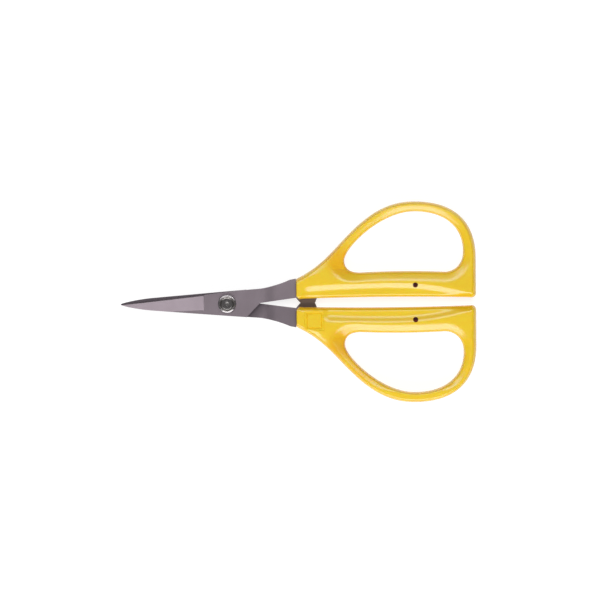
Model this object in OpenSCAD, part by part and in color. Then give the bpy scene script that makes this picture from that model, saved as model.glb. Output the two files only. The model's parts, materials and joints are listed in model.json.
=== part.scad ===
// Straight-bladed thread snips: two identical forged halves, one turned over onto the other,
// held by a keyed pivot bolt. The halves are drawn about the pivot, closed, with the handles
// towards +X, and then set down on z = 0 with the middle of their length over the origin.

/* [Blades] */
// Pivot centre to blade tip
blade_reach = 49.4; // [42:0.1:62]
// Thickness of the blade steel
blade_t = 2.1; // [1.6:0.05:2.5]
// Thickness that the blade would have at the tip before it is ground
tip_t = 1.3; // [0.9:0.05:1.6]
// Pivot centre to the spine at the pivot
spine_w = 5.6; // [5.2:0.1:7]
// How much the spine closes in per millimetre towards the tip
spine_taper = 0.079; // [0.05:0.001:0.09]
// Length of the rounded run from the straight spine to the tip
nose_l = 15; // [10:0.5:18]
// Pivot centre to the point where the straight cutting edge ends
edge_end = 7.8; // [7:0.1:10]
// Pivot centre to the corner where the heel leaves the spine
heel_x = 9; // [8.5:0.1:11]
// Pivot centre to the crotch between the two tangs
crotch_x = 15.3; // [14:0.1:18]
// Pivot centre to the wall where the ground face of the blade stops
grind_start = 10.7; // [8:0.1:16]
// How far that wall keeps clear of the spine
grind_land = 1.9; // [1:0.1:3]
// How far the edge of the ground face closes in on the spine per millimetre towards the tip
grind_run = 0.037; // [0.02:0.001:0.05]
// Thickness left at the cutting edge by that face
edge_t = 0.4; // [0.25:0.05:0.6]
// Slope of the narrow cutting bevel, in degrees
bevel_angle = 45; // [35:1:55]

/* [Tangs] */
// Where the tang starts to step over to the middle plane
joggle_start = 16.6; // [16:0.1:20]
// Length of that step
joggle_l = 5.6; // [3:0.1:6]
// Width of the tang where it enters the handle
tang_w = 8.9; // [7.5:0.1:10]
// Middle plane to the tang's inner edge at the handle
tang_gap = 2.4; // [2:0.1:3]
// Width of the tang inside the grip bar
tang_tail_w = 4.4; // [3.2:0.1:5]
// Width of the stop lug where it meets the other lug
lug_w = 6.7; // [5:0.1:8]
// Handle face to the near side of the stop lug
lug_inset = 2.1; // [2:0.1:4]

/* [Handles] */
// Pivot centre to the front face of the handle
handle_start = 32; // [28:0.1:40]
// Front face of the handle to the finger opening
neck_l = 22.6; // [18:0.1:28]
// Length of the finger opening
opening_l = 55; // [45:0.1:66]
// Height of the finger opening
opening_h = 28.1; // [23:0.1:34]
// Width of the straight grip bar
bar_w = 11.8; // [9.8:0.1:14.5]
// Width of the loop at its crown
strap_w = 4.7; // [3.9:0.1:5.8]
// Width of the loop at its far end
end_w = 6; // [5:0.1:7.5]
// Thickness of the handle
handle_t = 9; // [8.8:0.1:11]
// Far end of the handle back to the crown of the loop
crown_back = 28.6; // [24:0.1:34]
// Middle plane to the grip bar at its ends
bar_gap = 1.75; // [1.2:0.05:2.4]
// How much the grip bar bows away from the middle plane
bar_bow = 0.65; // [0:0.05:1]
// Edge rounding on the outside of the handle
outer_round = 2.2; // [1.5:0.1:3]
// Edge rounding around the finger opening
grip_round = 4; // [3:0.1:5]
// Corner cut at the inner front of the neck
neck_chamfer = 1.6; // [1:0.1:1.9]
// Diameter of the locating hole over the tang
pin_hole_d = 2.3; // [1.6:0.1:2.8]
// Front face of the handle to the locating hole
pin_hole_x = 55.4; // [44:0.1:60]
// Side of the square panel on the neck
panel_w = 8.4; // [6.5:0.1:9]
// Depth of the square panel
panel_depth = 0.35; // [0.2:0.05:0.6]
// Front face of the handle to the middle of the square panel
panel_inset = 8.4; // [7.5:0.1:10]

/* [Pivot] */
// Diameter of the pivot bolt's shank
bolt_d = 4; // [3:0.1:4.8]
// Diameter of the pivot bolt's head
head_d = 7.4; // [6.4:0.1:8.8]
// Height of the pivot bolt's head
head_h = 1.55; // [1:0.05:1.7]
// Diameter of the dish in the head
dish_d = 5.4; // [4:0.1:5.8]
// Depth of the dish in the head
dish_depth = 0.4; // [0.2:0.05:0.6]
// Outer diameter of the two washers
washer_d = 8.4; // [7.5:0.1:10]
// Thickness of the conical spring washer
spring_t = 0.35; // [0.25:0.05:0.5]
// Height of the spring washer's cone
spring_cone = 0.22; // [0.1:0.02:0.3]
// Thickness of the plain washer under the nut
washer_t = 0.5; // [0.3:0.05:0.6]
// Width of the hexagon nut across its flats
nut_af = 7; // [5.5:0.1:8]
// Height of the hexagon nut
nut_h = 1.55; // [1.2:0.05:1.8]

/* [Fits] */
// Gap between the two blades
ride_gap = 0.04; // [0.02:0.01:0.1]
// Radial clearance of the bolt in the turning blade
pivot_clear = 0.04; // [0.02:0.01:0.08]
// Clearance of the bolt's flats, thread and washers
seat_clear = 0.02; // [0.01:0.01:0.05]
// Gap between the two stop lugs when closed
stop_gap = 0.04; // [0.02:0.01:0.1]

/* [Hidden] */

steel = [0.5, 0.47, 0.49];
dark_steel = [0.35, 0.33, 0.34];
handle_yellow = [0.93, 0.77, 0.2];

round_fn = 96;
half_t = handle_t / 2;

// How far a solid reaches into the one that it is joined to.
bite = 0.2;

// Places along the handle, from the pivot.
open_x0 = handle_start + neck_l;
open_x1 = open_x0 + opening_l;
handle_end = open_x1 + end_w;
crown_x = handle_end - crown_back;
open_y0 = bar_gap + bar_bow / 2 + bar_w;
open_y1 = open_y0 + opening_h;
handle_top = open_y1 + strap_w;
bar_mid_x = (handle_start + handle_end) / 2;

// Half of the overall length, to centre the part on the origin.
mid_x = (handle_end - blade_reach) / 2;

// The tang's edges at the handle's front face, and the line that its tail follows in the bar,
// a little nearer the finger opening than the bar's middle.
tang_out = tang_gap + tang_w;
tail_shift = 0.4;
tail_y = bar_gap + bar_w / 2 + tail_shift;
pin_x = handle_start + pin_hole_x;
tail_end = pin_x + tang_tail_w;
shoulder_h = 1.6;
panel_shift = 0.1;

// The inner edge of the grip bar at a given place along the handle.
function bar_edge(x) =
    bar_gap + bar_bow * (1 - pow((x - bar_mid_x) / (handle_end - bar_mid_x), 2));

// Half the width of the blade at a given place, on the straight run of the spine.
function spine(x) = spine_w + spine_taper * x;

// Points of a cubic curve from parameter t0 up to, but not including, t1.
function curve(p, n, t0 = 0, t1 = 1) = [
    for (i = [0 : n - 1])
        let (t = t0 + (t1 - t0) * i / n, s = 1 - t)
        s * s * s * p[0] + 3 * s * s * t * p[1] + 3 * s * t * t * p[2] + t * t * t * p[3]
];

// Points of a straight line from a up to, but not including, b.
function line(a, b, n) = [for (i = [0 : n - 1]) a + (b - a) * i / n];

// Points of an arc from angle a0 to angle a1, both included.
function arc(c, r, a0, a1, n) = [
    for (i = [0 : n]) let (a = a0 + (a1 - a0) * i / n) c + r * [cos(a), sin(a)]
];

// ---- Blades ----------------------------------------------------------------------------

// The outline of one blade with its tang, turning anticlockwise from the tip.
tip = [-blade_reach, 0];
nose_end_x = nose_l - blade_reach;
nose_pull = [-0.6, -0.45];
nose_swell = [0.5, 0.8];
nose_curve = [tip, tip + nose_pull,
              tip + [nose_l * nose_swell.x, -spine(nose_end_x) * nose_swell.y],
              [nose_end_x, -spine(nose_end_x)]];
edge_end_y = spine(edge_end);

// The tang's outer edge flares from behind the heel to a short straight at the handle.
flare_x = crotch_x + 0.3;
flare_start = [flare_x, spine(flare_x)];
flare_straight = [2.9, 0.55];
flare_end = [handle_start, tang_out] - flare_straight;
flare_curve = [flare_end, flare_end - [3.3, 1.6], flare_start + [4.6, 0.65], flare_start];

// The stop lug stands out of the tang's inner edge, with a slanted side at each end.
lug_x0 = handle_start + lug_inset;
lug_x1 = lug_x0 + lug_w;
lug_foot0 = [lug_x0 - 1.1, bar_gap - 0.65];
lug_foot1 = [lug_x1 + 1, bar_gap + 0.6];
crotch_y = 0.2;
tail_half = tang_tail_w / 2;
tail_x0 = lug_x1 + 6;

function blade_outline() = concat(
    curve(nose_curve, 10),
    [[nose_end_x, -spine(nose_end_x)], [heel_x, -spine(heel_x)], [crotch_x, crotch_y]],
    // the inner edge of the tang, the stop lug and the underside of the tail
    [[handle_start, tang_gap], lug_foot0, [lug_x0, stop_gap / 2],
     [lug_x1, stop_gap / 2], lug_foot1, [tail_x0, tail_y - tail_half]],
    arc([tail_end - tail_half, tail_y], tail_half, -90, 90, 12),
    // the outer edge, from the shoulder on the handle's face back to the neck of the blade
    [[tail_x0, tail_y + tail_half], [handle_start, tang_out - shoulder_h],
     [handle_start, tang_out]],
    curve(flare_curve, 12),
    [flare_start, [edge_end, edge_end_y]]
);

// The plate stays at full thickness round the pivot and thins evenly from there to the tip.
washer_land = 1;
taper_x = -washer_d / 2 - washer_land;

function outer_face(x) =
    ride_gap / 2 + blade_t - (blade_t - tip_t) * (taper_x - x) / (taper_x + blade_reach);

// The side view of the plate, with the step that brings the tang to the middle plane.
module side_profile() {
    low = ride_gap / 2;
    half = blade_t / 2;
    joggle_end = joggle_start + joggle_l;
    rotate([90, 0, 0])
        linear_extrude(2 * handle_top, center = true)
            polygon([[-blade_reach, low], [joggle_start, low], [joggle_end, -half],
                     [handle_end, -half], [handle_end, half], [joggle_end, half],
                     [joggle_start, low + blade_t], [taper_x, low + blade_t],
                     [-blade_reach, low + tip_t]]);
}

// Three points fix the ground face: two on the line where it leaves the outer face, which runs
// beside the spine, and one at the cutting edge below the first. All else follows from them.
function edge_y(x) = edge_end_y * (x + blade_reach) / (edge_end + blade_reach);

grind_at = [-grind_start, grind_land - spine(-grind_start)];
grind_slope_y = (ride_gap / 2 + edge_t - outer_face(-grind_start))
                / (edge_y(-grind_start) - grind_at.y);
grind_slope_x = (outer_face(-grind_start) - outer_face(-blade_reach)) / (blade_reach - grind_start)
                - grind_slope_y * grind_run;
grind_turn_y = -atan(grind_slope_x);
grind_turn_x = atan(grind_slope_y * cos(grind_turn_y));

// One plate with its ground face and cutting bevel, and no hole yet.
module blade_plate() {
    span = blade_reach;
    difference() {
        intersection() {
            linear_extrude(4 * handle_t, center = true)
                polygon(blade_outline());
            side_profile();
        }
        // the ground face, with a wall straight across the blade where it starts
        translate([grind_at.x, grind_at.y, outer_face(-grind_start)])
            rotate([grind_turn_x, grind_turn_y, 0])
                translate([-2 * span, -span, 0])
                    cube([2 * span, 2 * span, span]);
        // the cutting bevel, from the tip to the same wall
        translate([-blade_reach, 0, ride_gap / 2])
            rotate([0, 0, atan(edge_y(0) / blade_reach)])
                rotate([-bevel_angle, 0, 0])
                    translate([-1, -span, 0])
                        cube([blade_reach - grind_start + 1, 2 * span, span]);
    }
}

// The turning blade, with a round bore.
module front_blade() {
    color(steel)
        difference() {
            blade_plate();
            cylinder(d = bolt_d + 2 * pivot_clear, h = 4 * blade_t, center = true, $fn = round_fn);
        }
}

// The fixed blade, with a bore that has two flats for the bolt.
module back_blade() {
    color(steel)
        difference() {
            rotate([180, 0, 0]) blade_plate();
            keyed_shank(seat_clear, 4 * blade_t);
        }
}

// ---- Handles ---------------------------------------------------------------------------

// The handle is a ring around the finger opening. Its outside also carries the neck. Both
// edges are drawn with the same number of stations, so that sections can join them.
fullness = 0.65;
flank_slope = [cos(47), sin(47)];
inflection = [open_x0 - 1.6, open_y0 + opening_h / 2];
neck_drop = 0.2;
neck_top = [handle_start, tang_out - neck_drop];
neck_low = [handle_start, bar_gap + neck_chamfer - 0.25];
neck_corner = [handle_start + neck_chamfer, bar_gap - neck_drop];
corner_r = 2.1;
side_end_y = open_y0 + 6.4;
bar_x0 = open_x0 + 7.4;
bar_x1 = open_x1 - 8.6;
open_left_y = open_y0 + opening_h / 5;
open_right_y = open_y0 + opening_h / 3;

crown_out = [[handle_end, side_end_y],
             [handle_end, side_end_y + fullness * (handle_top - side_end_y)],
             [crown_x + fullness * crown_back, handle_top], [crown_x, handle_top]];
flank_out = [[crown_x, handle_top], [crown_x - 13.3, handle_top],
             inflection + 17 * flank_slope, inflection];
neck_out = [inflection, inflection - 11.2 * flank_slope, neck_top + [9.5, 4.8], neck_top];
crown_in = [[open_x1, open_right_y],
            [open_x1, open_right_y + 0.64 * (open_y1 - open_right_y)],
            [crown_x + 0.6 * (open_x1 - crown_x), open_y1], [crown_x, open_y1]];
flank_in = [[crown_x, open_y1], [crown_x - 0.48 * (crown_x - open_x0), open_y1],
            [open_x0, open_left_y + opening_h / 5], [open_x0, open_left_y]];
left_corner_in = [[open_x0, open_left_y], [open_x0, open_y0 + 2.5],
                  [open_x0 + 1.7, open_y0], [bar_x0, open_y0]];
bow_reach = 13;
bar_in = [[bar_x0, open_y0], [bar_x0 + bow_reach, open_y0 + bar_bow],
          [bar_x1 - bow_reach, open_y0 + bar_bow], [bar_x1, open_y0]];
right_corner_in = [[bar_x1, open_y0], [bar_x1 + 3.9, open_y0],
                   [open_x1, open_right_y - 6.6], [open_x1, open_right_y]];
bar_low_x0 = bar_x0 - 2;
bar_low_x1 = bar_x1 - 1;

function bar_out(x0, x1, n) = [
    for (i = [0 : n - 1]) let (x = x0 + (x1 - x0) * i / n) [x, bar_edge(x)]
];

outer_ring = concat(
    bar_out(bar_low_x0, bar_low_x1, 9),
    bar_out(bar_low_x1, handle_end - corner_r, 3),
    arc([handle_end - corner_r, bar_edge(handle_end) + corner_r], corner_r, -90, 0, 3),
    line([handle_end, bar_edge(handle_end) + corner_r + 2], [handle_end, side_end_y], 4),
    curve(crown_out, 12),
    curve(flank_out, 12),
    curve(neck_out, 8),
    line(neck_top, neck_low, 4),
    [neck_low],
    concat([neck_corner], bar_out(neck_corner.x + 3, bar_low_x0, 7))
);
inner_ring = concat(
    curve(bar_in, 9),
    curve(right_corner_in, 11),
    curve(crown_in, 12),
    curve(flank_in, 12, 0, 0.8),
    curve(flank_in, 8, 0.8, 1),
    curve(left_corner_in, 5, 0, 0.3),
    curve(left_corner_in, 8, 0.3, 1)
);

// One section across the ring: a quarter ellipse up from each edge, and a flat between them.
round_steps = [0, 25, 50, 70, 90];
flat_share = 0.42;

function section(a, b) =
    let (
        w = norm(b - a),
        d = (b - a) / w,
        r_in = min(grip_round, flat_share * w),
        r_out = min(outer_round, flat_share * w),
        top = concat(
            [for (f = round_steps) [r_in * (1 - cos(f)), half_t * sin(f)]],
            [for (f = round_steps) let (g = 90 - f) [w - r_out * (1 - cos(g)), half_t * sin(g)]]
        ),
        last = len(top) - 1,
        under = [for (i = [last - 1 : -1 : 1]) [top[i][0], -top[i][1]]]
    )
    [for (q = concat(top, under)) [a.x + d.x * q[0], a.y + d.y * q[0], q[1]]];

module handle_body() {
    sections = [for (i = [0 : len(inner_ring) - 1]) section(inner_ring[i], outer_ring[i])];
    n = len(sections);
    m = len(sections[0]);
    points = [for (s = sections) for (q = s) q];
    faces = [
        for (i = [0 : n - 1]) for (k = [0 : m - 1])
            let (
                i2 = (i + 1) % n,
                k2 = (k + 1) % m,
                a = i * m + k, b = i2 * m + k, c = i2 * m + k2, d = i * m + k2
            )
            each [[a, b, c], [a, c, d]]
    ];
    polyhedron(points, faces);
}

// The handle on the +Y side, moulded round the tang of the front blade.
module handle() {
    pin_r = pin_hole_d / 2;
    panel_at = [handle_start + panel_inset, tail_y + panel_shift];
    difference() {
        handle_body();
        // the moulded pocket that holds the tang
        intersection() {
            linear_extrude(blade_t, center = true)
                polygon(blade_outline());
            translate([handle_start - bite, -bar_gap, -handle_t])
                cube([handle_end, handle_top, 2 * handle_t]);
        }
        // the locating hole, from each face down to the tang
        for (side = [-1, 1])
            translate([pin_x, tail_y, side * (half_t + blade_t / 2)])
                cylinder(r = pin_r, h = handle_t, center = true, $fn = round_fn);
        // the shallow square panel, on the face away from the front
        translate([panel_at.x - panel_w / 2, panel_at.y - panel_w / 2, -handle_t])
            cube([panel_w, panel_w, half_t + panel_depth]);
    }
}

module front_handle() {
    color(handle_yellow) handle();
}

module back_handle() {
    color(handle_yellow) rotate([180, 0, 0]) handle();
}

// ---- Pivot -----------------------------------------------------------------------------

outer_z = ride_gap / 2 + blade_t;
spring_seat = outer_z + seat_clear;
head_seat = spring_seat + spring_t + spring_cone + seat_clear;
washer_top = -outer_z - seat_clear;
nut_top = washer_top - washer_t - seat_clear;
thread_end = 0.1;
bolt_low = nut_top - nut_h - thread_end;
key_half = bolt_d * 0.4;

// The shank's shape where it is keyed to the fixed blade: round, with two flats.
module keyed_shank(clear, length) {
    intersection() {
        cylinder(r = bolt_d / 2 + clear, h = length, center = true, $fn = round_fn);
        cube([2 * key_half + 2 * clear, 2 * bolt_d, length], center = true);
    }
}

// The head: a rounded rim round a shallow dish with a centre mark.
module bolt_head() {
    rim_r = (head_d - dish_d) / 2;
    wall_h = head_h - rim_r * 0.7;
    edge_break = 0.15;
    dish_slope = 0.2;
    mark_r = 0.6;
    mark_depth = 0.25;
    translate([0, 0, head_seat])
        rotate_extrude($fn = round_fn)
            polygon(concat(
                [[0, 0], [head_d / 2 - edge_break, 0], [head_d / 2, edge_break]],
                [for (f = [0 : 22.5 : 90])
                    [head_d / 2 - rim_r * 0.75 * (1 - cos(f)),
                     wall_h + (head_h - wall_h) * sin(f)]],
                [[dish_d / 2, head_h - dish_depth / 3],
                 [dish_d / 2 - dish_slope, head_h - dish_depth],
                 [mark_r, head_h - dish_depth], [0, head_h - dish_depth - mark_depth]]
            ));
}

module pivot_bolt() {
    color(dark_steel)
        union() {
            bolt_head();
            // the smooth bearing length, through the washer and the turning blade
            cylinder(d = bolt_d, h = head_seat + bite, $fn = round_fn);
            // the keyed length, in the fixed blade
            translate([0, 0, washer_top / 2])
                keyed_shank(0, -washer_top);
            // the threaded end, drawn at its outer diameter over the flats
            translate([0, 0, bolt_low])
                cylinder(r = key_half, h = -bolt_low, $fn = round_fn);
        }
}

// A conical spring washer: its rim bears on the blade, and its bore on the bolt head.
module spring_washer() {
    bore = bolt_d / 2 + 2 * pivot_clear;
    rim = washer_d / 2;
    color(dark_steel)
        translate([0, 0, spring_seat])
            rotate_extrude($fn = round_fn)
                polygon([[rim, 0], [rim, spring_t], [bore, spring_t + spring_cone],
                         [bore, spring_cone]]);
}

module thrust_washer() {
    color(dark_steel)
        translate([0, 0, washer_top - washer_t])
            difference() {
                cylinder(d = washer_d, h = washer_t, $fn = round_fn);
                cylinder(r = key_half + seat_clear, h = 4 * washer_t, center = true,
                         $fn = round_fn);
            }
}

// A hexagon nut with its corners turned off on both faces.
module lock_nut() {
    corner_r = nut_af / 2 / cos(30);
    chamfer_h = (corner_r - nut_af / 2) * 0.6;
    color(dark_steel)
        translate([0, 0, nut_top - nut_h])
            difference() {
                intersection() {
                    cylinder(r = corner_r, h = nut_h, $fn = 6);
                    rotate_extrude($fn = round_fn)
                        polygon([[0, 0], [nut_af / 2, 0], [corner_r, chamfer_h],
                                 [corner_r, nut_h - chamfer_h], [nut_af / 2, nut_h],
                                 [0, nut_h]]);
                }
                cylinder(r = key_half + seat_clear, h = 4 * nut_h, center = true, $fn = round_fn);
            }
}

// ---- Assembly --------------------------------------------------------------------------

translate([-mid_x, 0, half_t]) {
    front_blade();
    back_blade();
    front_handle();
    back_handle();
    pivot_bolt();
    spring_washer();
    thrust_washer();
    lock_nut();
}
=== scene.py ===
"""Thread snips: two ground steel halves with moulded handles, held by a dished pivot bolt.

Every piece is drawn in millimetres about the pivot, closed, with x towards the handles, y
across and z up from the plane in which the two blades meet. set_in_place() then puts it
into the frame, in metres. The back half is the front half turned over about x.
"""
import json
import math

import bpy
import numpy as np
from mathutils import Euler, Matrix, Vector


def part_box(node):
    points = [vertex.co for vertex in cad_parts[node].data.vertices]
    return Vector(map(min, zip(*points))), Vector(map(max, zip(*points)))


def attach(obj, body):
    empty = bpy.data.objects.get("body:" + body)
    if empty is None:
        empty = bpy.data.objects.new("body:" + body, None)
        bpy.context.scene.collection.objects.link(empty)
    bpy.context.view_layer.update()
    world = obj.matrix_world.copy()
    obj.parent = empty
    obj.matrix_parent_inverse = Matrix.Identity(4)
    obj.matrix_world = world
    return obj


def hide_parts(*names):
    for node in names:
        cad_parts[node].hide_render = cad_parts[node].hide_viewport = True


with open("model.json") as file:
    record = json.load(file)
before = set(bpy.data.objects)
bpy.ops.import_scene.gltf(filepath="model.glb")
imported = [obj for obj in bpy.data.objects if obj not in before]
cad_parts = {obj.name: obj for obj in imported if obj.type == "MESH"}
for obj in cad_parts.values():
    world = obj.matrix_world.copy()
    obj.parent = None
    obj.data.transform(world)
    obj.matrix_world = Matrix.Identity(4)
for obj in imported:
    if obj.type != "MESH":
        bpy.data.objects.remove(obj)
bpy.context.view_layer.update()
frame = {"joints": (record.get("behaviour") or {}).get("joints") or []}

MM = 0.001
PIVOT = Vector(frame["joints"][0]["pos_m"])


def corner(node, end):
    """The low (0) or high (1) corner of a CAD node, in millimetres from the pivot."""
    return (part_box(node)[end] - PIVOT) / MM


# ---- Sizes, in millimetres -------------------------------------------------------------

# Half of what stays open between the two halves: between their blades, between their bars
RIDE = 0.02
BAR_GAP = 1.75

# Blades
BLADE_REACH = -corner("front_blade", 0).x
BLADE_T = 2.1
TIP_T = 1.3
TIP_ROUND = 0.03
SPINE_W = 5.6
SPINE_TAPER = 0.079
NOSE_L = 15
NOSE_PULL = Vector((-0.6, -0.45))
NOSE_SWELL = 0.8
EDGE_END = 7.8
HEEL_X = 9
CROTCH_X = 15.3
CROTCH_Y = 0.2
TAPER_X = -5.2
GRIND_START = 10.7
GRIND_LAND = 1.9
GRIND_RUN = 0.037
GRIND_OFFSET = 0.03
EDGE_T = 0.4
BEVEL_ANGLE = math.radians(45)
EDGE_BREAK = 0.12

# Tangs, with the step that takes each one to the middle plane, and the stop lugs
JOGGLE_START = 16.4
JOGGLE_END = 23.4
JOGGLE_STEPS = 16
TANG_GAP = 2.4
TANG_OUT = 11.3
FLARE_X = CROTCH_X + 0.3
FLARE_LAND = 2.9
FLARE_DROP = 0.55
FLARE_PULL_OUT = Vector((3.3, 1.6))
FLARE_PULL_IN = Vector((4.6, 0.65))
SHOULDER_H = 1.6
LUG_X0 = 34.1
LUG_X1 = 40.8
LUG_FOOT = Vector((33.0, 1.1))
LUG_FAR_FOOT = Vector((LUG_X1 + 1, BAR_GAP + 0.6))
TAIL_START = LUG_X1 + 6
TAIL_END = 91.8
TAIL_Y = 8.05
TAIL_HALF = 2.2

# Handles: the outside
HANDLE_START = corner("front_handle", 0).x
HANDLE_END = corner("front_handle", 1).x
HANDLE_TOP = corner("front_handle", 1).y
HALF_T = corner("front_handle", 1).z
CROWN_X = HANDLE_END - 28.6
CROWN_PULL = 13.3
BAR_BOW = 0.65
CORNER_R = 2.1
SIDE_RISE = 6.4
FULLNESS = 0.65
FLANK_ANGLE = math.radians(47)
FLANK_PULL = 17
NECK_CHAMFER = 1.6
NECK_TOP = Vector((HANDLE_START, TANG_OUT - 0.2))
NECK_CORNER = Vector((HANDLE_START + NECK_CHAMFER, BAR_GAP - 0.2))
NECK_PULL_OUT = 11.2
NECK_PULL_IN = Vector((9.5, 4.8))

# Handles: the finger opening
OPEN_X0 = HANDLE_START + 22.6
OPEN_X1 = HANDLE_END - 6
OPEN_Y0 = 13.875
OPEN_Y1 = HANDLE_TOP - 4.7
OPEN_H = OPEN_Y1 - OPEN_Y0
INFLECTION = Vector((OPEN_X0 - 1.6, OPEN_Y0 + OPEN_H / 2))
BAR_PULL = 13
RIGHT_PULL = Vector((3.9, 6.6))
CROWN_FULLNESS = Vector((0.6, 0.64))
FLANK_FULLNESS = 0.48
LEFT_PULL = Vector((1.7, 2.5))

# Handles: the faces. Each one's thumb pad starts at pad_start and is pad_depth deep. Its
# slope round the opening is crown times as steep at the crown, and its outer edge falls at
# side_angle degrees with side_soft of blending.
TOP_FACE = {"pad_start": 34, "pad_depth": 1.25, "crown": 0.95, "side_angle": 10, "side_soft": 0.6}
UNDER_FACE = {"pad_start": 43.5, "pad_depth": 1.2, "crown": 0.1, "side_angle": 24,
              "side_soft": 1.5}
CREST_X = 77
CREST_Y = 8.0
CREST_BEND_NEAR = 0.0009
CREST_BEND_FAR = 0.0041
PAD_STEP = 3.8
PAD_RUN_IN = 4
OPEN_SLOPE = {"width": 4.1, "corner_width": 3.4, "share": 0.66, "angle": 23, "soft": 0.9}
OPEN_CORNER = (53, 18)
OPEN_CORNER_R = 7
CROWN_WIDENING = 0.14
SIDE_WIDTH = 3.0
SIDE_SHARE = 0.28
OPEN_ROUND = 1.0
SIDE_ROUND = 1.3
BAR_ROUND = 0.3
FRONT_ROUND = 0.4
BAR_TO_STRAP_Y = (9, 15)
STRAP_TO_CROWN_Y = (37, 42)
FAR_END_X = (HANDLE_END - 9, HANDLE_END - 2)

# Handles: the locating hole, and the square panel with its sunk line
PIN_X = 87.4
PIN_R = 1.15
PIN_FLOOR = 0.15
PANEL_X = 40.4
PANEL_Y = 8.15
PANEL_W = 8.4
PANEL_DEPTH = 0.35
PANEL_PAD = 0.3
PANEL_ROOT = -2
PANEL_SLANT = 1
LINE_INSET = 0.85
LINE_HALF = 0.5
LINE_DEPTH = 0.3
LINE_OVER = 0.2
OVERLAP = 0.02

# Pivot stack, heights above the plane between the blades
BOLT_R = 2.0
KEY_HALF = 1.6
KEY_CUT = 4
BOLT_CHAMFER = 0.2
HEAD_R = 3.7
HEAD_LOW = 2.73
HEAD_TOP = 4.28
HEAD_CHAMFER = 0.12
RIM_R = 3.36
RIM_ROUND = 0.34
DISH_R = 2.7
DISH_FLOOR = 3.88
BOLT_LOW = -4.31
WASHER_R = 4.2
WASHER_CHAMFER = 0.08
SPRING_LOW = 2.14
SPRING_BORE = BOLT_R + 0.08
THRUST_TOP = -2.14
THRUST_LOW = -2.64
THRUST_BORE = KEY_HALF + RIDE
NUT_TOP = -2.66
NUT_LOW = -4.21
NUT_FLAT = 3.5
NUT_CHAMFER = 0.32
NUT_BORE_CHAMFER = 0.15

# Plan places of painted shade, where the plastic's colour is deepened: middle, outer radius and
# inner radius
CORNER_SHADE = ((52.5, 19.5), 9.5, 2.5)
STRAP_SHADE = ((64, 28), 15, 3)


# ---- Lines and curves of an outline ----------------------------------------------------

def at(x, y):
    return Vector((x, y))


def curve(points, count, first=0.0, last=1.0):
    """Points of a cubic curve, from first up to, but not including, last."""
    found = []
    for i in range(count):
        t = first + (last - first) * i / count
        s = 1 - t
        found.append(s * s * s * points[0] + 3 * s * s * t * points[1]
                     + 3 * s * t * t * points[2] + t * t * t * points[3])
    return found


def line(start, end, count):
    return [start.lerp(end, i / count) for i in range(count)]


def arc(centre, radius, start, end, count):
    """Points of an arc between two angles in degrees, both ends included."""
    found = []
    for i in range(count + 1):
        turn = math.radians(start + (end - start) * i / count)
        found.append(centre + radius * at(math.cos(turn), math.sin(turn)))
    return found


# ---- Modelling steps -------------------------------------------------------------------

def only(piece):
    """Makes one piece the only one selected, and active."""
    bpy.ops.object.select_all(action="DESELECT")
    piece.select_set(True)
    bpy.context.view_layer.objects.active = piece


def edit(piece):
    """Opens a piece for editing with everything on it selected."""
    only(piece)
    bpy.ops.object.mode_set(mode="EDIT")
    bpy.ops.mesh.select_all(action="SELECT")


def close_edit():
    bpy.ops.object.mode_set(mode="OBJECT")


def close_facing_out():
    """Turns every face of the piece being edited outwards, and closes it."""
    bpy.ops.mesh.select_all(action="SELECT")
    bpy.ops.mesh.normals_make_consistent(inside=False)
    close_edit()


def apply_place():
    """Moves the selected piece's place, turn and scale into its mesh."""
    bpy.ops.object.transform_apply(location=True, rotation=True, scale=True)


def loop_on(name, points, fill):
    """A circle whose vertices are laid on the given points, each (x, y, z)."""
    bpy.ops.object.select_all(action="DESELECT")
    bpy.ops.mesh.primitive_circle_add(vertices=len(points), radius=1, fill_type=fill)
    piece = bpy.context.object
    piece.name = name
    for vertex, point in zip(piece.data.vertices, points):
        vertex.co = point
    return piece


def drawn_out(name, points, offset):
    """A solid made by drawing a flat outline of (x, y, z) points out by an offset."""
    piece = loop_on(name, points, "NGON")
    edit(piece)
    bpy.ops.mesh.extrude_region_move(TRANSFORM_OT_translate={"value": offset})
    close_facing_out()
    return piece


def plate(name, outline, low, high):
    """A flat plate of the given outline between two heights."""
    return drawn_out(name, [(p.x, p.y, low) for p in outline], (0, 0, high - low))


def turned(name, section, steps=96):
    """A turned piece: its half section, as (radius, height) pairs, spun about the pivot."""
    piece = loop_on(name, [(r, 0, z) for r, z in section], "NOTHING")
    edit(piece)
    bpy.ops.mesh.spin(steps=steps, angle=2 * math.pi, center=(0, 0, 0), axis=(0, 0, 1))
    bpy.ops.mesh.select_all(action="SELECT")
    bpy.ops.mesh.remove_doubles(threshold=0.002)
    bpy.ops.mesh.delete_loose(use_verts=True, use_edges=True, use_faces=False)
    close_facing_out()
    return piece


def rod(name, radius, low, high, x=0.0, y=0.0):
    """A round cutter that stands on the plan."""
    bpy.ops.object.select_all(action="DESELECT")
    bpy.ops.mesh.primitive_cylinder_add(vertices=64, radius=radius, depth=high - low,
                                        location=(x, y, (low + high) / 2))
    piece = bpy.context.object
    piece.name = name
    apply_place()
    return piece


def box_from(name, low, high):
    """A square cutter between two corners."""
    bpy.ops.object.select_all(action="DESELECT")
    bpy.ops.mesh.primitive_cube_add(size=1, location=(Vector(low) + Vector(high)) / 2)
    piece = bpy.context.object
    piece.name = name
    piece.scale = Vector(high) - Vector(low)
    apply_place()
    return piece


def block_inside(name, planes):
    """A big block trimmed by planes, each (point on it, direction that points out)."""
    piece = box_from(name, (-120, -120, -120), (120, 120, 120))
    edit(piece)
    for point, outwards in planes:
        bpy.ops.mesh.select_all(action="SELECT")
        bpy.ops.mesh.bisect(plane_co=point, plane_no=outwards, use_fill=True,
                            clear_outer=True)
    close_edit()
    return piece


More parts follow.
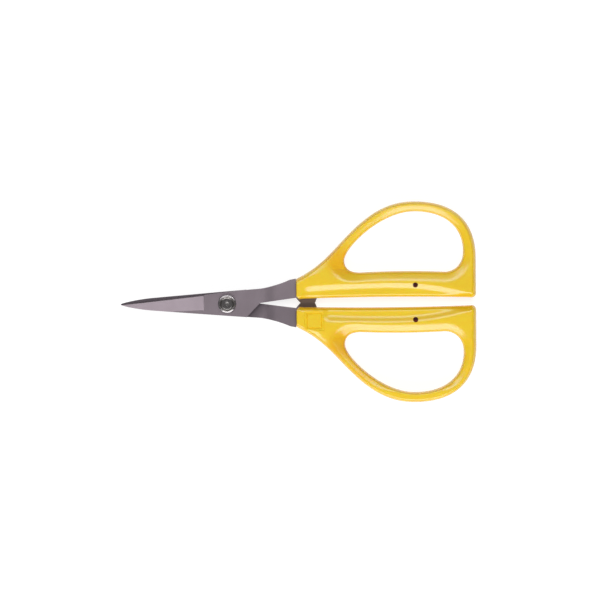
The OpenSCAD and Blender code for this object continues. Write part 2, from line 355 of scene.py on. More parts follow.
def combine(piece, tool, operation="DIFFERENCE"):
    """Cuts, fills or trims a piece with a tool, and throws the tool away."""
    only(piece)
    step = piece.modifiers.new(operation.title(), "BOOLEAN")
    step.operation = operation
    step.solver = "EXACT"
    step.object = tool
    bpy.ops.object.modifier_apply(modifier=step.name)
    bpy.data.objects.remove(tool)


def break_edges(piece, width, angle=25, segments=2):
    """Takes the sharpness off every edge that turns by more than the angle."""
    only(piece)
    step = piece.modifiers.new("Broken edges", "BEVEL")
    step.width = width
    step.segments = segments
    step.limit_method = "ANGLE"
    step.angle_limit = math.radians(angle)
    bpy.ops.object.modifier_apply(modifier=step.name)


def smooth(piece, angle):
    only(piece)
    bpy.ops.object.shade_smooth_by_angle(angle=math.radians(angle))


def copy_of(piece, name):
    twin = piece.copy()
    twin.data = piece.data.copy()
    twin.name = name
    bpy.context.collection.objects.link(twin)
    return twin


def turn_over(piece):
    only(piece)
    piece.rotation_euler = (math.pi, 0, 0)
    apply_place()


def set_in_place(piece, finish, body, node):
    """Puts a finished piece into the frame, gives it its finish, ties it to its body and hides
    the CAD node it stands for.
    """
    only(piece)
    piece.scale = (MM, MM, MM)
    piece.location = PIVOT
    apply_place()
    piece.data.materials.clear()
    piece.data.materials.append(finish)
    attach(piece, body)
    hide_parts(node)


# ---- Blades ----------------------------------------------------------------------------

def spine(x):
    return SPINE_W + SPINE_TAPER * x


def edge_y(x):
    """The cutting edge's distance from the middle line."""
    return spine(EDGE_END) * (x + BLADE_REACH) / (EDGE_END + BLADE_REACH)


def outer_face(x):
    """Height of the plate's outer face between the pivot and the tip."""
    share = (TAPER_X - x) / (TAPER_X + BLADE_REACH)
    return RIDE + BLADE_T - (BLADE_T - TIP_T) * share


def tail_outline():
    """The tang inside the moulding, from the lug's far foot round to the shoulder."""
    return (
        [LUG_FAR_FOOT, at(TAIL_START, TAIL_Y - TAIL_HALF)]
        + arc(at(TAIL_END - TAIL_HALF, TAIL_Y), TAIL_HALF, -90, 90, 24)
        + [at(TAIL_START, TAIL_Y + TAIL_HALF), at(HANDLE_START, TANG_OUT - SHOULDER_H)]
    )


def blade_outline():
    """One blade with its tang, anticlockwise from the tip."""
    tip = at(TIP_ROUND - BLADE_REACH, 0)
    nose = NOSE_L - BLADE_REACH
    nose_end = at(nose, -spine(nose))
    nose_swell = tip + at(NOSE_L / 2, -NOSE_SWELL * spine(nose))
    flare_end = at(HANDLE_START - FLARE_LAND, TANG_OUT - FLARE_DROP)
    flare_start = at(FLARE_X, spine(FLARE_X))
    flare = [flare_end, flare_end - FLARE_PULL_OUT, flare_start + FLARE_PULL_IN, flare_start]
    return (
        curve([tip, tip + NOSE_PULL, nose_swell, nose_end], 20)
        + [nose_end, at(HEEL_X, -spine(HEEL_X)), at(CROTCH_X, CROTCH_Y)]
        + [at(HANDLE_START, TANG_GAP), LUG_FOOT, at(LUG_X0, RIDE), at(LUG_X1, RIDE)]
        + tail_outline()
        + [at(HANDLE_START, TANG_OUT)]
        + curve(flare, 24)
        + [flare_start, at(EDGE_END, edge_y(EDGE_END))]
    )


def side_view():
    """The plate from the side: its taper to the tip and the step of the tang."""
    half = BLADE_T / 2
    bend = []
    for i in range(JOGGLE_STEPS + 1):
        share = i / JOGGLE_STEPS
        fall = share * share * (3 - 2 * share)
        bend.append((JOGGLE_START + (JOGGLE_END - JOGGLE_START) * share,
                     RIDE - (RIDE + half) * fall))
    top = [(x, z + BLADE_T) for x, z in reversed(bend)]
    return ([(-60, RIDE)] + bend + [(130, -half), (130, half)] + top
            + [(TAPER_X, RIDE + BLADE_T), (-60, outer_face(-60))])


def side_block():
    """A block of the plate's side view, wider than the plate."""
    return drawn_out("side_block", [(x, -30, z) for x, z in side_view()], (0, 60, 0))


def grinding_blocks():
    """What the grinder takes away: the wide ground face, and the narrow cutting bevel."""
    start = Vector((-GRIND_START, GRIND_LAND - spine(-GRIND_START), outer_face(-GRIND_START)))
    slope_y = (RIDE + EDGE_T - start.z) / (edge_y(-GRIND_START) - start.y)
    slope_x = ((start.z - outer_face(-BLADE_REACH)) / (BLADE_REACH - GRIND_START)
               - slope_y * GRIND_RUN)
    wall = (start, Vector((1, 0, 0)))
    face = (start, Vector((slope_x, slope_y, -1)))
    lean = math.atan(edge_y(0) / BLADE_REACH)
    bevel = (Vector((-BLADE_REACH, 0, RIDE)),
             -Vector((-math.sin(lean) * math.sin(BEVEL_ANGLE),
                      math.cos(lean) * math.sin(BEVEL_ANGLE),
                      math.cos(BEVEL_ANGLE))))
    bevel_wall = (start + Vector((GRIND_OFFSET, 0, 0)), wall[1])
    return [block_inside("ground_face", [wall, face]),
            block_inside("cutting_bevel", [bevel_wall, bevel])]


def make_blade(name):
    """One forging: plate, side view, ground face and cutting bevel, with no hole yet."""
    piece = plate(name, blade_outline(), -6, 6)
    combine(piece, side_block(), "INTERSECT")
    for block in grinding_blocks():
        combine(piece, block)
    return piece


def keyed_hole():
    """A cutter for the bolt's flats."""
    cutter = rod("keyed_hole", BOLT_R + RIDE, -5, 5)
    combine(cutter, box_from("flats", (-KEY_HALF - RIDE, -5, -6), (KEY_HALF + RIDE, 5, 6)),
            "INTERSECT")
    return cutter


# ---- Handles ---------------------------------------------------------------------------

# Stations along the face's rows, and the rows' distances from the opening and from the outside
FINE = 3
ROWS_IN = [0, 0.04, 0.13, 0.27, 0.46, 0.7, 1.0, 1.4]
ROWS_MID = 14
ROWS_OUT = [1.5, 1.15, 0.85, 0.6, 0.4, 0.24, 0.12, 0.04, 0]


def bar_edge(x):
    """The bar's edge that faces the other handle."""
    middle = (HANDLE_START + HANDLE_END) / 2
    return BAR_GAP + BAR_BOW * (1 - ((x - middle) / (HANDLE_END - middle)) ** 2)


def bar_line(x0, x1, count):
    return [at(x, bar_edge(x)) for x in (x0 + (x1 - x0) * i / count for i in range(count))]


def outside_edge():
    """The handle's outside, from the chamfer of its neck round to the top of its front."""
    slope = at(math.cos(FLANK_ANGLE), math.sin(FLANK_ANGLE))
    side_end = at(HANDLE_END, OPEN_Y0 + SIDE_RISE)
    crown = at(CROWN_X, HANDLE_TOP)
    low_corner = at(HANDLE_END, bar_edge(HANDLE_END) + CORNER_R)
    crown_out = [side_end, side_end + at(0, FULLNESS * (HANDLE_TOP - side_end.y)),
                 crown + at(FULLNESS * (HANDLE_END - CROWN_X), 0), crown]
    flank_out = [crown, crown - at(CROWN_PULL, 0), INFLECTION + FLANK_PULL * slope, INFLECTION]
    neck_out = [INFLECTION, INFLECTION - NECK_PULL_OUT * slope, NECK_TOP + NECK_PULL_IN, NECK_TOP]
    bar_x0 = OPEN_X0 + 5.4
    bar_x1 = OPEN_X1 - 9.6
    return (
        [NECK_CORNER]
        + bar_line(NECK_CORNER.x + 1, bar_x0, 8 * FINE - 1)
        + bar_line(bar_x0, bar_x1, 9 * FINE)
        + bar_line(bar_x1, HANDLE_END - CORNER_R, 3 * FINE)
        + arc(low_corner - at(CORNER_R, 0), CORNER_R, -90, 0, 4 * FINE - 1)
        + line(low_corner + at(0, 1), side_end, 4 * FINE)
        + curve(crown_out, 12 * FINE)
        + curve(flank_out, 12 * FINE)
        + curve(neck_out, 8 * FINE)
        + [NECK_TOP]
    )


def front_edge():
    """The flat front of the neck, down to its chamfer."""
    neck_low = at(HANDLE_START, BAR_GAP + NECK_CHAMFER - 0.25)
    return line(NECK_TOP, neck_low, 4 * FINE)[1:] + line(neck_low, NECK_CORNER, FINE)


def opening_edge():
    """The finger opening, with one station for each station of the outside."""
    bar_x0 = OPEN_X0 + 7.4
    bar_x1 = OPEN_X1 - 8.6
    crown = at(CROWN_X, OPEN_Y1)
    left = at(OPEN_X0, OPEN_Y0 + OPEN_H / 5)
    right = at(OPEN_X1, OPEN_Y0 + OPEN_H / 3)
    bar_start = at(bar_x0, OPEN_Y0)
    bar_end = at(bar_x1, OPEN_Y0)
    bar_in = [bar_start, bar_start + at(BAR_PULL, BAR_BOW), bar_end + at(-BAR_PULL, BAR_BOW),
              bar_end]
    right_in = [bar_end, bar_end + at(RIGHT_PULL.x, 0), right - at(0, RIGHT_PULL.y), right]
    crown_in = [right, right + at(0, CROWN_FULLNESS.y * (OPEN_Y1 - right.y)),
                crown + at(CROWN_FULLNESS.x * (OPEN_X1 - CROWN_X), 0), crown]
    flank_in = [crown, crown - at(FLANK_FULLNESS * (CROWN_X - OPEN_X0), 0),
                left + at(0, OPEN_H / 5), left]
    left_in = [left, at(OPEN_X0, OPEN_Y0 + LEFT_PULL.y), at(OPEN_X0 + LEFT_PULL.x, OPEN_Y0),
               bar_start]
    return (
        curve(left_in, 8 * FINE, 0.3, 1)
        + curve(bar_in, 9 * FINE)
        + curve(right_in, 11 * FINE)
        + curve(crown_in, 12 * FINE)
        + curve(flank_in, 12 * FINE, 0, 0.8)
        + curve(flank_in, 8 * FINE, 0.8, 1)
        + curve(left_in, 5 * FINE, 0, 0.3)
    )


def distance(points, edge, closed):
    """Shortest distance from each plan point to an edge, given as its corner points."""
    starts = np.array([tuple(p) for p in edge])
    ends = np.roll(starts, -1, axis=0)
    if not closed:
        starts = starts[:-1]
        ends = ends[:-1]
    along = ends - starts
    nearest = np.full(len(points), 1e9)
    for start, step in zip(starts, along):
        share = ((points - start) @ step) / max(step @ step, 1e-12)
        foot = start + np.clip(share, 0, 1)[:, None] * step
        nearest = np.minimum(nearest, np.linalg.norm(points - foot, axis=1))
    return nearest


def rounded(depth, radius):
    """A quarter circle: 0 at the edge, 1 from the radius inwards."""
    inwards = np.clip(depth / radius, 0, 1)
    return np.sqrt(1 - (1 - inwards) ** 2)


def ramp(depth, width, angle, blend):
    """How far a soft slope at an edge has fallen, from nothing past its width."""
    s = width - depth
    return math.tan(math.radians(angle)) * (s + np.sqrt(s * s + blend * blend)) / 2


def eased(value, start, end):
    """0 before the start, 1 past the end, and a soft step between them."""
    share = np.clip((value - start) / (end - start), 0, 1)
    return share * share * (3 - 2 * share)


def crest_line(x):
    """Middle of the slope between the ridge and the thumb pad, along the bar."""
    past = x - CREST_X
    return CREST_Y - np.where(past > 0, CREST_BEND_FAR, CREST_BEND_NEAR) * past * past


def opening_slope(x, y, to_opening, width, form):
    """How far the face falls towards the finger opening: widest at its near corner."""
    from_corner = ((x - OPEN_CORNER[0]) / OPEN_CORNER_R) ** 2
    from_corner = from_corner + ((y - OPEN_CORNER[1]) / OPEN_CORNER_R) ** 2
    at_crown = eased(y, *STRAP_TO_CROWN_Y)
    full = OPEN_SLOPE["width"] + OPEN_SLOPE["corner_width"] * np.exp(-from_corner)
    reach = np.minimum(full, OPEN_SLOPE["share"] * width) * (1 + CROWN_WIDENING * at_crown)
    fall = ramp(to_opening, reach, OPEN_SLOPE["angle"], OPEN_SLOPE["soft"])
    return fall * (1 + (form["crown"] - 1) * at_crown)


def handle_height(plan, inside, outside, front, form):
    """Height of the handle's face above its parting plane, at each plan point."""
    x = plan[:, 0]
    y = plan[:, 1]
    to_opening = distance(plan, inside, True)
    to_side = distance(plan, outside, False)
    to_front = distance(plan, front, False)
    width = to_opening + to_side
    on_strap = eased(y, *BAR_TO_STRAP_Y)
    # the pad beside the inner edge lies lower than the ridge
    crest = crest_line(x)
    pad = (form["pad_depth"] * eased(y, crest + PAD_STEP / 2, crest - PAD_STEP / 2)
           * eased(x, form["pad_start"], form["pad_start"] + PAD_RUN_IN))
    side_width = np.minimum(SIDE_WIDTH, SIDE_SHARE * width) * on_strap
    side_slope = ramp(to_side, side_width, form["side_angle"], form["side_soft"]) * on_strap
    top = HALF_T - pad - opening_slope(x, y, to_opening, width, form) - side_slope
    side_round = SIDE_ROUND + BAR_ROUND * (1 - on_strap) + eased(x, *FAR_END_X)
    return (top * rounded(to_opening, OPEN_ROUND) * rounded(to_side, side_round)
            * rounded(to_front, FRONT_ROUND))


def handle_rows(inside, outside):
    """Plan points of the face: one row for each step from the opening to the outside."""
    a = np.array([tuple(p) for p in inside])
    b = np.array([tuple(p) for p in outside])
    span = np.linalg.norm(b - a, axis=1)[:, None]
    across = (b - a) / span
    rows = [a + across * depth for depth in ROWS_IN]
    first = ROWS_IN[-1]
    last = ROWS_OUT[0]
    for i in range(1, ROWS_MID + 1):
        rows.append(a + across * (first + (span - first - last) * i / (ROWS_MID + 1)))
    rows += [b - across * depth for depth in ROWS_OUT]
    return np.array(rows)


def handle_face(name, side, form):
    """One face of the moulding: a grid wrapped round the opening and raised or lowered."""
    inside = opening_edge()
    outside = outside_edge()
    front = front_edge()
    rows = handle_rows(inside, outside + front)
    ring = np.concatenate([rows, rows[:, :1]], axis=1)
    plan = ring.reshape(-1, 2)
    front_line = [outside[-1]] + front + [outside[0]]
    height = side * handle_height(plan, inside, outside, front_line, form)
    bpy.ops.object.select_all(action="DESELECT")
    bpy.ops.mesh.primitive_grid_add(x_subdivisions=ring.shape[1] - 1,
                                    y_subdivisions=ring.shape[0] - 1, size=1)
    piece = bpy.context.object
    piece.name = name
    for vertex, (x, y), z in zip(piece.data.vertices, plan, height):
        vertex.co = (x, y, z)
    return piece


def handle_shell(name):
    """The moulding's outer form: its two faces joined along the parting line."""
    piece = handle_face(name, 1, TOP_FACE)
    under = handle_face("underside", -1, UNDER_FACE)
    only(piece)
    under.select_set(True)
    bpy.ops.object.join()
    edit(piece)
    bpy.ops.mesh.remove_doubles(threshold=0.0008)
    close_facing_out()
    finer = piece.modifiers.new("Smooth skin", "SUBSURF")
    finer.levels = 1
    finer.render_levels = 1
    bpy.ops.object.modifier_apply(modifier=finer.name)
    return piece


def tang_pocket():
    """The space that the tang fills inside the moulding."""
    past_front = HANDLE_START - 3
    past_bar = -2
    outline = (
        [at(past_front, TANG_GAP - 0.2), at(HANDLE_START, TANG_GAP), LUG_FOOT]
        + [at(LUG_FOOT.x, past_bar), at(LUG_X1 + 0.6, past_bar)]
        + tail_outline()
        + [at(past_front, TANG_OUT - SHOULDER_H)]
    )
    return plate("tang_pocket", outline, -BLADE_T / 2, BLADE_T / 2)


def square_at(low_half, high_half, low, high):
    """A square block over the middle of the neck's panel, with slanted sides."""
    piece = box_from("square", (PANEL_X - low_half, PANEL_Y - low_half, low),
                     (PANEL_X + low_half, PANEL_Y + low_half, high))
    shrink = high_half / low_half
    middle = Vector((PANEL_X, PANEL_Y, high))
    for vertex in piece.data.vertices:
        if vertex.co.z > (low + high) / 2:
            vertex.co = middle + (vertex.co - middle) * shrink
    return piece


def add_panel(piece):
    """The square panel on the neck's underside: a flat pad with a sunk line round it."""
    level = -HALF_T + PANEL_DEPTH
    half = PANEL_W / 2
    combine(piece, square_at(half, half, level - PANEL_PAD, PANEL_ROOT), "UNION")
    combine(piece, square_at(half + PANEL_SLANT + OVERLAP, half + OVERLAP,
                             level - PANEL_SLANT, level))
    middle = half - LINE_INSET
    ring = square_at(middle + LINE_HALF, middle, level - LINE_OVER, level + LINE_DEPTH)
    combine(ring, square_at(middle - LINE_HALF, middle + OVERLAP, level - LINE_OVER,
                            level + LINE_DEPTH + OVERLAP))
    combine(piece, ring)


def make_handle(name):
    """One moulding, with its pocket, locating holes and panel."""
    piece = handle_shell(name)
    add_panel(piece)
    combine(piece, tang_pocket())
    for side in (-1, 1):
        middle = side * (HALF_T + BLADE_T / 2 + PIN_FLOOR)
        combine(piece, rod("pin_hole", PIN_R, middle - HALF_T, middle + HALF_T, PIN_X, TAIL_Y))
    return piece


# ---- Pivot -----------------------------------------------------------------------------

def head_section():
    """Half section of the bolt's head: a rounded rim round a dish with turned steps."""
    rim = at(RIM_R, HEAD_TOP - RIM_ROUND)
    floor = DISH_FLOOR
    return (
        [(BOLT_R, HEAD_LOW), (HEAD_R - HEAD_CHAMFER, HEAD_LOW), (HEAD_R, HEAD_LOW + HEAD_CHAMFER)]
        + [tuple(p) for p in arc(rim, RIM_ROUND, 0, 90, 10)]
        + [tuple(p) for p in arc(rim, RIM_ROUND, 90, 145, 6)]
        + [(DISH_R, floor + 0.05), (DISH_R - 0.12, floor), (2.05, floor), (2.0, floor - 0.06)]
        + [(1.55, floor - 0.06), (1.5, floor), (1.0, floor + 0.01), (0.75, floor + 0.06)]
        + [(0.4, floor + 0.1), (0, floor + 0.11)]
    )


def make_bolt():
    """The pivot bolt: head, smooth shank, two flats for the back blade and a turned end."""
    section = (
        [(0, BOLT_LOW), (KEY_HALF - BOLT_CHAMFER, BOLT_LOW), (KEY_HALF, BOLT_LOW + BOLT_CHAMFER)]
        + [(KEY_HALF, THRUST_TOP), (BOLT_R, THRUST_TOP)]
        + head_section()
    )
    piece = turned("pivot_bolt_turned", section)
    for side in (-1, 1):
        low_x, high_x = sorted((side * KEY_HALF, side * KEY_CUT))
        combine(piece, box_from("flat", (low_x, -KEY_CUT, THRUST_TOP - 0.001),
                                (high_x, KEY_CUT, 0)))
    return piece


def make_spring_washer():
    """A conical washer with rounded rims: its rim on the blade, its bore under the head."""
    bore = SPRING_BORE
    low = SPRING_LOW
    return turned("spring_washer_cone", [
        (WASHER_R - 0.06, low), (WASHER_R, low + 0.06), (WASHER_R, low + 0.12),
        (WASHER_R - 0.05, low + 0.18), (WASHER_R - 0.22, low + 0.28),
        (WASHER_R - 0.46, low + 0.37), (bore + 0.05, low + 0.57), (bore, low + 0.52),
        (bore, low + 0.27), (bore + 0.05, low + 0.22)])


def make_thrust_washer():
    """A plain washer, its outer edges broken more than those of its bore."""
    bore = THRUST_BORE
    low = THRUST_LOW
    high = THRUST_TOP
    return turned("thrust_washer_plain", [
        (WASHER_R - WASHER_CHAMFER, low), (WASHER_R, low + WASHER_CHAMFER),
        (WASHER_R, high - WASHER_CHAMFER), (WASHER_R - WASHER_CHAMFER, high),
        (bore + 0.05, high), (bore, high - 0.05), (bore, low + 0.05), (bore + 0.05, low)])


def make_nut():
    """A hexagon nut: six sides trimmed by a turned blank, and a chamfered bore."""
    corner_r = NUT_FLAT / math.cos(math.radians(30))
    sides = [corner_r * at(math.cos(math.radians(60 * i)), math.sin(math.radians(60 * i)))
             for i in range(6)]
    piece = plate("lock_nut_hexagon", sides, NUT_LOW, NUT_TOP)
    bore = THRUST_BORE
    mouth = bore + NUT_BORE_CHAMFER
    blank = turned("blank", [
        (mouth, NUT_LOW), (NUT_FLAT, NUT_LOW), (corner_r + 0.05, NUT_LOW + NUT_CHAMFER),
        (corner_r + 0.05, NUT_TOP - NUT_CHAMFER), (NUT_FLAT, NUT_TOP), (mouth, NUT_TOP),
        (bore, NUT_TOP - NUT_BORE_CHAMFER), (bore, NUT_LOW + NUT_BORE_CHAMFER)])
    combine(piece, blank, "INTERSECT")
    return piece


# ---- Materials -------------------------------------------------------------------------

# The Mix node's colour sockets, which share their names with its other kinds
MIX_A = 6
MIX_B = 7
MIX_RESULT = 2


def new_material(name):
    material = bpy.data.materials.new(name)
    material.use_nodes = True
    material.node_tree.nodes.clear()
    shader = add(material, "ShaderNodeBsdfPrincipled")
    output = add(material, "ShaderNodeOutputMaterial")
    link(material, shader.outputs["BSDF"], output.inputs["Surface"])
    return material, shader


def set_inputs(node, **values):
    """Sets a node's inputs by name, with underscores for spaces."""
    for key, value in values.items():
        node.inputs[key.replace("_", " ")].default_value = value


def add(owner, kind, **values):
    """Adds a node to a material or world, and sets its inputs."""
    node = owner.node_tree.nodes.new(kind)
    set_inputs(node, **values)
    return node


def link(owner, source, target):
    owner.node_tree.links.new(source, target)


def feed(material, target, value):
    """Gives an input a fixed value, or links it to another node's output."""
    if isinstance(value, bpy.types.NodeSocket):
        link(material, value, target)
    else:
        target.default_value = value


def calculate(material, operation, *values, kind="ShaderNodeMath"):
    node = add(material, kind)
    node.operation = operation
    for target, value in zip(node.inputs, values):
        feed(material, target, value)
    return node.outputs["Value"]


def place_of(material, stretch=(1, 1, 1), centre=(0, 0, 0)):
    """Object coordinates about a centre, stretched along each axis."""
    where = add(material, "ShaderNodeTexCoord")
    mapping = add(material, "ShaderNodeMapping", Scale=stretch)
    mapping.inputs["Location"].default_value = [-c * s for c, s in zip(centre, stretch)]
    link(material, where.outputs["Object"], mapping.inputs["Vector"])
    return mapping.outputs["Vector"]


def reach_of(material, stretch, centre):
    """Distance from an upright axis through a centre."""
    return calculate(material, "LENGTH", place_of(material, (*stretch, 0), centre),
                     kind="ShaderNodeVectorMath")


def upwards(material):
    """How far the surface faces up, from -1 to 1."""
    where = add(material, "ShaderNodeTexCoord")
    split = add(material, "ShaderNodeSeparateXYZ")
    link(material, where.outputs["Normal"], split.inputs["Vector"])
    return split.outputs["Z"]


def noise(material, where, scale, detail):
    node = add(material, "ShaderNodeTexNoise", Scale=scale, Detail=detail)
    link(material, where, node.inputs["Vector"])
    return node.outputs["Fac"]


def ramp_between(owner, source, stops):
    """Turns a number into a colour, with one stop for each (place, colour) pair."""
    node = add(owner, "ShaderNodeValToRGB")
    stop_list = node.color_ramp.elements
    while len(stop_list) < len(stops):
        stop_list.new(0.5)
    for stop, (place, colour) in zip(stop_list, stops):
        stop.position = place
        stop.color = (*colour, 1)
    link(owner, source, node.inputs["Fac"])
    return node.outputs["Color"]


def spread(material, source, shape="LINEAR", **ends):
    """Maps a number from one range to another, each from 0 to 1 unless it is given."""
    node = add(material, "ShaderNodeMapRange", **ends)
    node.interpolation_type = shape
    link(material, source, node.inputs["Value"])
    return node.outputs["Result"]


def tinted(material, colour, tint, mask):
    """The colour multiplied by a tint, as far as the mask says."""
    mix = add(material, "ShaderNodeMix")
    mix.data_type = "RGBA"
    mix.blend_type = "MULTIPLY"
    feed(material, mix.inputs["Factor"], mask)
    feed(material, mix.inputs[MIX_A], colour)
    feed(material, mix.inputs[MIX_B], tint)
    return mix.outputs[MIX_RESULT]


def bump(material, shader, source, strength, height):
    node = add(material, "ShaderNodeBump", Strength=strength, Distance=height)
    link(material, source, node.inputs["Height"])
    link(material, node.outputs["Normal"], shader.inputs["Normal"])


def heel_shadow_mask(material, side):
    """0 to 1: a painted shadow of the other half's heel, on the inner face only."""
    heel = Vector((HEEL_X, -side * spine(HEEL_X), 0))
    along = Vector((CROTCH_X, CROTCH_Y * side, 0)) - heel
    away = Vector((along.y, -along.x, 0)).normalized() * side
    past = calculate(material, "DOT_PRODUCT", place_of(material, (1, 1, 1), PIVOT + heel * MM),
                     away, kind="ShaderNodeVectorMath")
    fading = spread(material, past, From_Min=0.5 * MM, From_Max=5 * MM, To_Min=1.0, To_Max=0.28)
    inner = spread(material, upwards(material), From_Min=0.5 * side, From_Max=0.9 * side)
    return calculate(material, "MULTIPLY", fading, inner)


def lug_shade_mask(material):
    """0 to 1: painted shade on the stop lugs, in the recess between the handles, over an oval of
    4.6 by 3.4 mm each way.
    """
    middle = Vector(((LUG_X0 + LUG_X1) / 2, 0, 0))
    reach = reach_of(material, (1 / (4.6 * MM), 1 / (3.4 * MM)), PIVOT + middle * MM)
    return spread(material, reach, From_Min=1.15, From_Max=0.85)


def round_mask(material, centre, outer, inner):
    """1 inside the inner radius round an upright axis, fading to 0 at the outer one."""
    reach = reach_of(material, (1, 1), PIVOT + Vector((*centre, 0)) * MM)
    return spread(material, reach, "SMOOTHSTEP", From_Min=outer * MM, From_Max=inner * MM)


def ground_steel(name, side):
    """Satin steel: fine grinding lines across the blade, with painted shade beside the other
    half's heel and on the stop lugs.
    """
    material, shader = new_material(name)
    set_inputs(shader, Metallic=1)
    lines = noise(material, place_of(material, (9000, 260, 260)), 1.0, 4)
    clouds = noise(material, place_of(material), 140.0, 3)
    uneven = calculate(material, "MULTIPLY_ADD", lines, 0.45, clouds)
    colour = ramp_between(material, uneven, [
        (0.35, (0.216, 0.182, 0.203)), (0.75, (0.235, 0.198, 0.221)),
        (1.0, (0.25, 0.213, 0.237))])
    # painted shadow of the other half's heel, on this blade's inner face
    colour = tinted(material, colour, (0.42, 0.42, 0.43, 1), heel_shadow_mask(material, side))
    # painted shade on the stop lugs, in the recess between the handles
    colour = tinted(material, colour, (0.58, 0.49, 0.35, 1), lug_shade_mask(material))
    link(material, colour, shader.inputs["Base Color"])
    link(material, spread(material, lines, To_Min=0.42, To_Max=0.52), shader.inputs["Roughness"])
    bump(material, shader, lines, 0.18, 0.00001)
    return material


def shade_patch_mask(material, side, place):
    """Where one of the handle's places of painted shade lies, on the handle of the given side."""
    (x, y), outer, inner = place
    return round_mask(material, (x, side * y), outer, inner)


def yellow_plastic(name, side):
    """Glossy moulded plastic: a warm yellow, faintly rippled, with painted shade on its steep
    sides, beside the finger opening and in the locating holes."""
    material, shader = new_material(name)
    # painted shade: the steeper the face, the deeper and more orange its colour
    facing = calculate(material, "ABSOLUTE", upwards(material))
    flank_shade = ramp_between(material, facing, [
        (0.3, (0.83, 0.51, 0.009)), (0.86, (0.83, 0.55, 0.014)), (0.985, (0.815, 0.57, 0.02))])
    flow = noise(material, place_of(material, (1, 2.5, 1)), 60.0, 3)
    streaks = ramp_between(material, flow, [(0.3, (0.97, 0.96, 0.93)), (0.7, (1, 1, 1))])
    colour = tinted(material, flank_shade, streaks, 1)
    # painted shade beside the finger opening's near corner
    corner_shade_mask = shade_patch_mask(material, side, CORNER_SHADE)
    colour = tinted(material, colour, (0.97, 0.80, 0.3, 1), corner_shade_mask)
    # the back handle alone: painted shade on its loop near (64, -28)
    if side < 0:
        strap_shade_mask = shade_patch_mask(material, side, STRAP_SHADE)
        colour = tinted(material, colour, (1, 0.88, 0.45, 1), strap_shade_mask)
    # painted shade inside the locating hole: dark red-brown
    hole_shade_mask = shade_patch_mask(material, side, ((PIN_X, TAIL_Y), PIN_R + 0.1, PIN_R + 0.05))
    colour = tinted(material, colour, (0.32, 0.06, 0.01, 1), hole_shade_mask)
    link(material, colour, shader.inputs["Base Color"])
    set_inputs(shader, Specular_IOR_Level=0.7, Specular_Tint=(0.55, 0.78, 1, 1),
               Subsurface_Weight=0.35, Subsurface_Radius=(1, 0.5, 0.08), Subsurface_Scale=0.002)
    link(material, spread(material, flow, To_Min=0.20, To_Max=0.28), shader.inputs["Roughness"])
    ripple = noise(material, place_of(material), 700.0, 2)
    bump(material, shader, ripple, 0.08, 0.00002)
    return material


def turned_steel():
    """Plated bolt steel: rings from the lathe; the dish, the line at its wall and the outside of
    the rim are painted darker, as shade.
    """
    material, shader = new_material("turned_plated_steel")
    set_inputs(shader, Metallic=1)
    reach = reach_of(material, (1, 1), PIVOT)
    # painted shade: the dish, the dark line at its wall and the outside of the rim are darker
    colour = ramp_between(material, spread(material, reach, From_Min=0.0, From_Max=4.4 * MM), [
        (0.0, (0.27, 0.26, 0.255)), (0.14, (0.24, 0.23, 0.225)), (0.24, (0.20, 0.19, 0.19)),
        (0.55, (0.19, 0.18, 0.18)), (0.60, (0.12, 0.115, 0.11)), (0.67, (0.27, 0.25, 0.24)),
        (0.80, (0.26, 0.245, 0.24)), (0.87, (0.22, 0.20, 0.205))])
    link(material, colour, shader.inputs["Base Color"])
    rings = noise(material, place_of(material, (1, 1, 0.2), PIVOT), 2500.0, 2)
    link(material, spread(material, rings, To_Min=0.2, To_Max=0.34), shader.inputs["Roughness"])
    wave = calculate(material, "SINE", calculate(material, "MULTIPLY", reach, 34000.0))
    bump(material, shader, wave, 0.12, 0.000008)
    return material


def dark_washer_steel():
    """Blued spring steel, a little uneven."""
    material, shader = new_material("blued_spring_steel")
    set_inputs(shader, Metallic=1)
    patches = noise(material, place_of(material), 900.0, 3)
    colour = ramp_between(material, patches, [
        (0.3, (0.30, 0.28, 0.29)), (0.7, (0.40, 0.38, 0.39))])
    link(material, colour, shader.inputs["Base Color"])
    link(material, spread(material, patches, To_Min=0.2, To_Max=0.3), shader.inputs["Roughness"])
    return material


def pale_floor():
    material, shader = new_material("pale_floor")
    set_inputs(shader, Base_Color=(0.3, 0.3, 0.3, 1), Roughness=0.9, Specular_IOR_Level=0.1,
               Emission_Color=(1, 1, 1, 1), Emission_Strength=0.82)
    return material


# ---- Floor, light and camera -----------------------------------------------------------

def add_floor():
    bpy.ops.object.select_all(action="DESELECT")
    bpy.ops.mesh.primitive_plane_add(size=6, location=(0, 0, 0))
    floor = bpy.context.object
    floor.name = "floor"
    floor.data.materials.append(pale_floor())


def add_panel_light(name, tilt, distance_m, width, depth, radiance):
    """A soft panel that leans over the object; tilt is its angle from overhead, to +Y."""
    light = bpy.data.lights.new(name, "AREA")
    light.shape = "RECTANGLE"
    light.size = width
    light.size_y = depth
    light.energy = radiance * math.pi * width * depth
    panel = bpy.data.objects.new(name, light)
    angle = math.radians(tilt)
    panel.location = (0, distance_m * math.sin(angle), distance_m * math.cos(angle))
    panel.rotation_euler = (-angle, 0, 0)
    bpy.context.collection.objects.link(panel)


def set_sky():
    """A plain studio surround: grey overhead, darker towards the sides."""
    world = bpy.data.worlds.new("studio")
    world.use_nodes = True
    world.node_tree.nodes.clear()
    where = add(world, "ShaderNodeTexCoord")
    split = add(world, "ShaderNodeSeparateXYZ")
    back = add(world, "ShaderNodeBackground")
    output = add(world, "ShaderNodeOutputWorld")
    link(world, where.outputs["Generated"], split.inputs["Vector"])
    shade = ramp_between(world, split.outputs["Z"], [
        (0.0, (0.10, 0.10, 0.10)), (1.0, (0.23, 0.225, 0.23))])
    link(world, shade, back.inputs["Color"])
    link(world, back.outputs["Background"], output.inputs["Surface"])
    bpy.context.scene.world = world


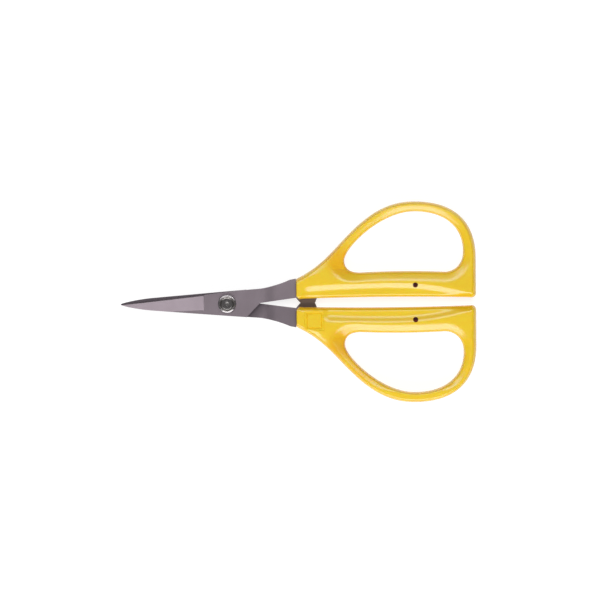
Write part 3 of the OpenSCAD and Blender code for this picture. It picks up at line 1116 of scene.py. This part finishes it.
def add_camera():
    """A long lens nearly straight above, leaning a little to +Y."""
    lean = math.radians(3.5)
    roll = -0.0095
    reach = 3.0
    view_width = 0.2785
    sensor = 36
    target = Vector((0.00075, 0.00133, PIVOT.z))
    lens = bpy.data.cameras.new("camera")
    lens.sensor_width = sensor
    lens.lens = sensor * reach / view_width
    lens.clip_end = 20
    camera = bpy.data.objects.new("camera", lens)
    turn = Euler((-lean, 0, roll))
    camera.location = target + turn.to_matrix() @ Vector((0, 0, reach))
    camera.rotation_euler = turn
    bpy.context.collection.objects.link(camera)
    bpy.context.scene.camera = camera


# ---- The snips -------------------------------------------------------------------------

def make_halves():
    """Both blades and both handles; the back ones are copies turned over."""
    front_steel = ground_steel("front_blade_satin_steel", -1)
    back_steel = ground_steel("back_blade_satin_steel", 1)
    front_plastic = yellow_plastic("front_handle_yellow_plastic", 1)
    back_plastic = yellow_plastic("back_handle_yellow_plastic", -1)
    front = make_blade("front_blade_forging")
    back = copy_of(front, "back_blade_forging")
    turn_over(back)
    combine(front, rod("bore", BOLT_R + 2 * RIDE, -5, 5))
    combine(back, keyed_hole())
    for blade in (front, back):
        break_edges(blade, EDGE_BREAK)
        smooth(blade, 4)
    front_grip = make_handle("front_handle_moulding")
    back_grip = copy_of(front_grip, "back_handle_moulding")
    turn_over(back_grip)
    for grip in (front_grip, back_grip):
        smooth(grip, 40)
    set_in_place(front, front_steel, "front_half", "front_blade")
    set_in_place(back, back_steel, "back_half", "back_blade")
    set_in_place(front_grip, front_plastic, "front_half", "front_handle")
    set_in_place(back_grip, back_plastic, "back_half", "back_handle")


def make_pivot():
    """The bolt and what it holds."""
    bright = turned_steel()
    dark = dark_washer_steel()
    stack = [
        (make_bolt(), bright, "pivot_bolt"),
        (make_spring_washer(), dark, "spring_washer"),
        (make_thrust_washer(), dark, "thrust_washer"),
        (make_nut(), bright, "lock_nut"),
    ]
    for piece, finish, node in stack:
        smooth(piece, 28)
        set_in_place(piece, finish, "back_half", node)


add_camera()
set_sky()
add_floor()
add_panel_light("near_panel", tilt=-47, distance_m=0.9, width=0.9, depth=0.45, radiance=5.5)
add_panel_light("far_panel", tilt=24, distance_m=0.9, width=0.9, depth=0.34, radiance=4.5)
bpy.context.scene.view_settings.view_transform = "Standard"
make_halves()
make_pivot()
